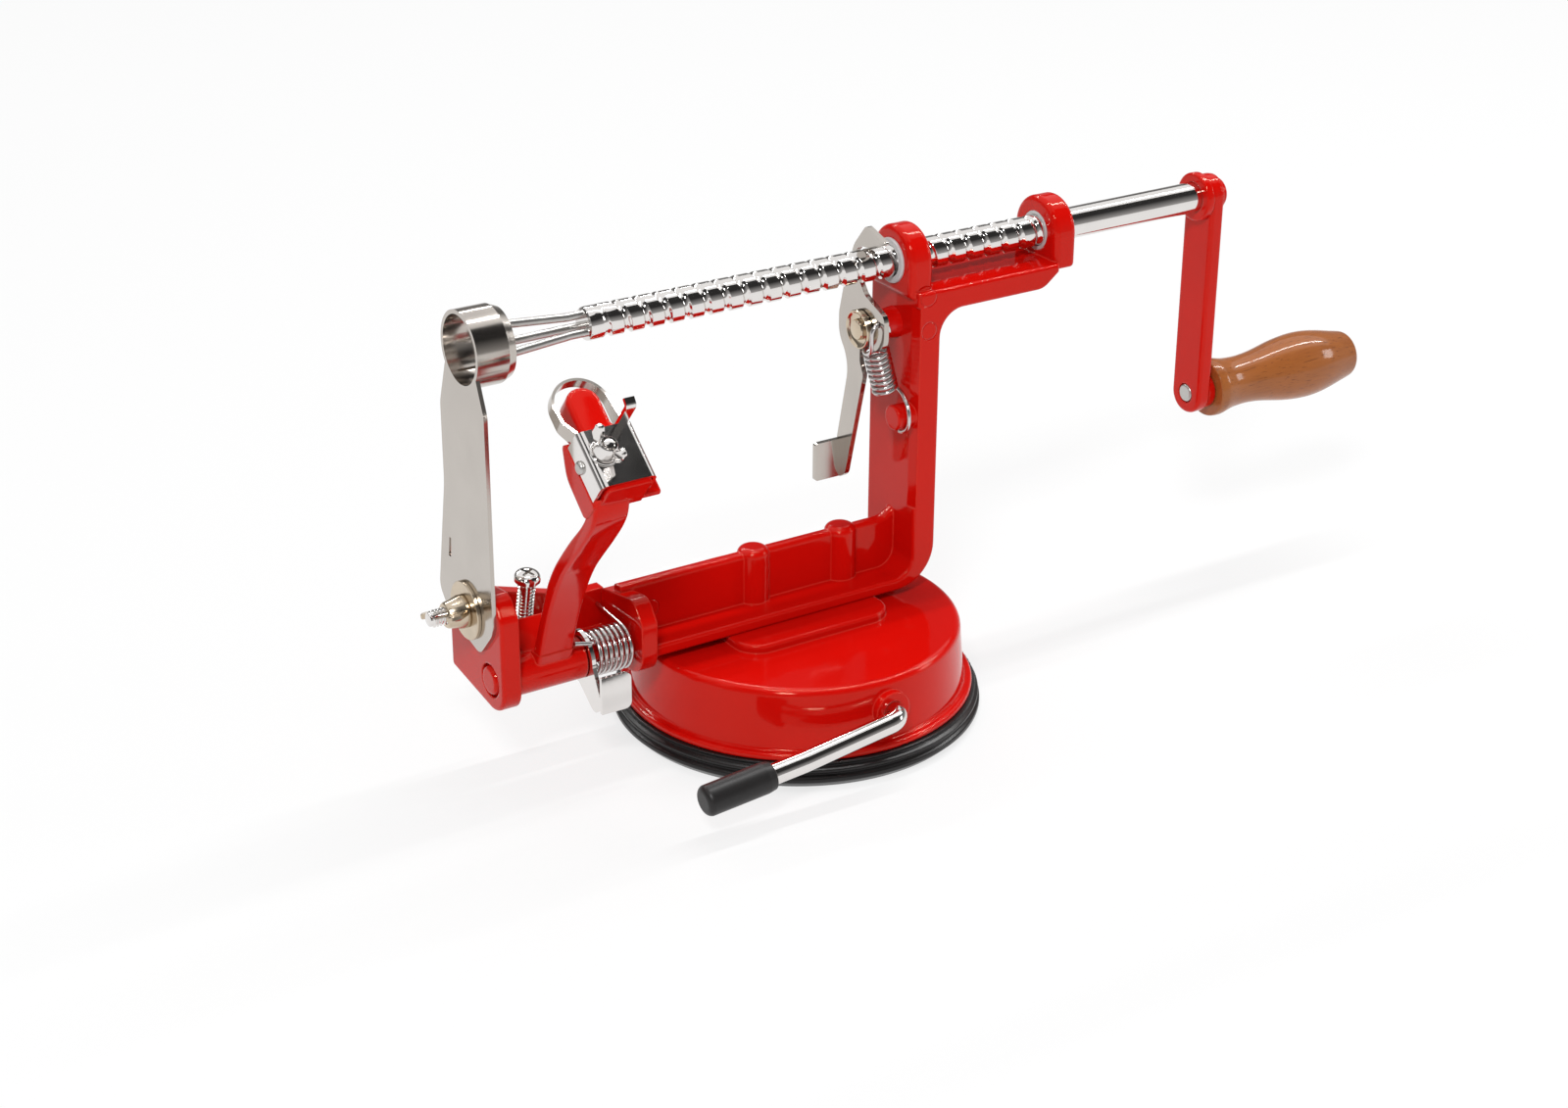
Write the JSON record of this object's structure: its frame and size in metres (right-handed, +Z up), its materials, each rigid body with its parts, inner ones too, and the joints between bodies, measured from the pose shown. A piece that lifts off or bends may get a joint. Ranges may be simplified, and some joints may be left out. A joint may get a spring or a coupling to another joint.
{
  "type": "apple peeler",
  "caption": "Hand-cranked fruit peeler, slicer and corer: screw-fed fork shaft in a red C-frame, sprung blade arm, slicing ring, and a suction base with a lever.",
  "frame": {"origin": "centre of the suction pad on the table top", "axes": "+X along the crank shaft from the fruit to the crank, +Z up, -Y towards the peeling arm"},
  "size_m": [0.3335, 0.1155, 0.1429],
  "materials": {
    "red_enamel": "gloss red enamel on a light alloy casting",
    "black_rubber": "smooth black rubber",
    "black_vinyl": "dipped black vinyl",
    "bush_plastic": "pale grey bearing plastic",
    "chrome_plate": "bright plating",
    "bright_steel": "plain bright steel",
    "blade_steel": "polished stainless sheet",
    "spring_wire": "bright spring wire",
    "varnished_wood": "clear varnish over reddish brown wood"
  },
  "bodies": {
    "frame": {"base_cup": "red_enamel", "suction_pad": "black_rubber", "frame_casting": "red_enamel", "frame_screws": "bright_steel", "front_bush": "bush_plastic", "rear_bush": "bush_plastic", "pivot_pin": "red_enamel", "slicer_blade": "blade_steel", "slicer_bolt": "chrome_plate", "slicer_washer": "chrome_plate", "slicer_wing_nut": "chrome_plate", "pawl_screw": "bright_steel", "arm_spring": "spring_wire", "pawl_spring": "spring_wire"},
    "pad_lift": {"pad_stud": "bright_steel"},
    "suction_lever": {"lever_rod": "chrome_plate", "lever_cap": "black_vinyl"},
    "shaft_carriage": {"crank_collar": "red_enamel"},
    "crank": {"crank_shaft": "chrome_plate", "fruit_fork": "bright_steel", "crank_arm": "red_enamel", "crank_screw": "red_enamel", "handle_axle": "bright_steel"},
    "handle": {"wooden_handle": "varnished_wood"},
    "arm": {"peeling_arm": "red_enamel", "stop_screw": "chrome_plate", "blade_holder": "chrome_plate", "peeling_blade": "blade_steel", "blade_rivets": "bright_steel", "holder_bolt": "chrome_plate", "holder_washer": "chrome_plate", "holder_wing_nut": "chrome_plate"},
    "latch": {"arm_latch": "chrome_plate"},
    "pawl": {"pawl_lever": "blade_steel"}
  },
  "joints": [
    {"name": "crank_turn", "type": "hinge", "parent": "shaft_carriage", "child": "crank", "pos_m": [0, 0.006, 0.131], "axis": [-1, 0, 0], "range_deg": [-3960, 2900]},
    {"name": "shaft_feed", "type": "slide", "parent": "frame", "child": "shaft_carriage", "axis": [-1, 0, 0], "range_m": [-0.07, 0.0517]},
    {"name": "handle_spin", "type": "hinge", "parent": "crank", "child": "handle", "pos_m": [0.158, 0.006, 0.0655], "axis": [-1, 0, 0], "continuous": true},
    {"name": "arm_swing", "type": "hinge", "parent": "frame", "child": "arm", "pos_m": [-0.085, -0.0018, 0.0354], "axis": [-1, 0, 0], "range_deg": [-40, 11], "stiffness_Nm_per_rad": 0.06, "deforming": ["arm_spring"]},
    {"name": "latch_turn", "type": "hinge", "parent": "frame", "child": "latch", "pos_m": [-0.0735, -0.0018, 0.0354], "axis": [-1, 0, 0], "range_deg": [0, 40]},
    {"name": "pawl_release", "type": "hinge", "parent": "frame", "child": "pawl", "pos_m": [0.0268, 0.0065, 0.1116], "axis": [-1, 0, 0], "range_deg": [0, 20], "stiffness_Nm_per_rad": 0.05, "springref_deg": -22.92, "deforming": ["pawl_spring"]},
    {"name": "lever_turn", "type": "hinge", "parent": "frame", "child": "suction_lever", "pos_m": [0, 0, 0.0195], "axis": [0, 1, 0], "range_deg": [0, 165]},
    {"name": "pad_lift_slide", "type": "slide", "parent": "frame", "child": "pad_lift", "axis": [0, 0, 1], "range_m": [-0.0022, 0]}
  ],
  "couplings": [
    {"joint": "shaft_feed", "follows": "crank_turn", "m_per_rad": 0.0010106},
    {"joint": "pad_lift_slide", "follows": "lever_turn", "m_per_rad": -0.00076393}
  ]
}
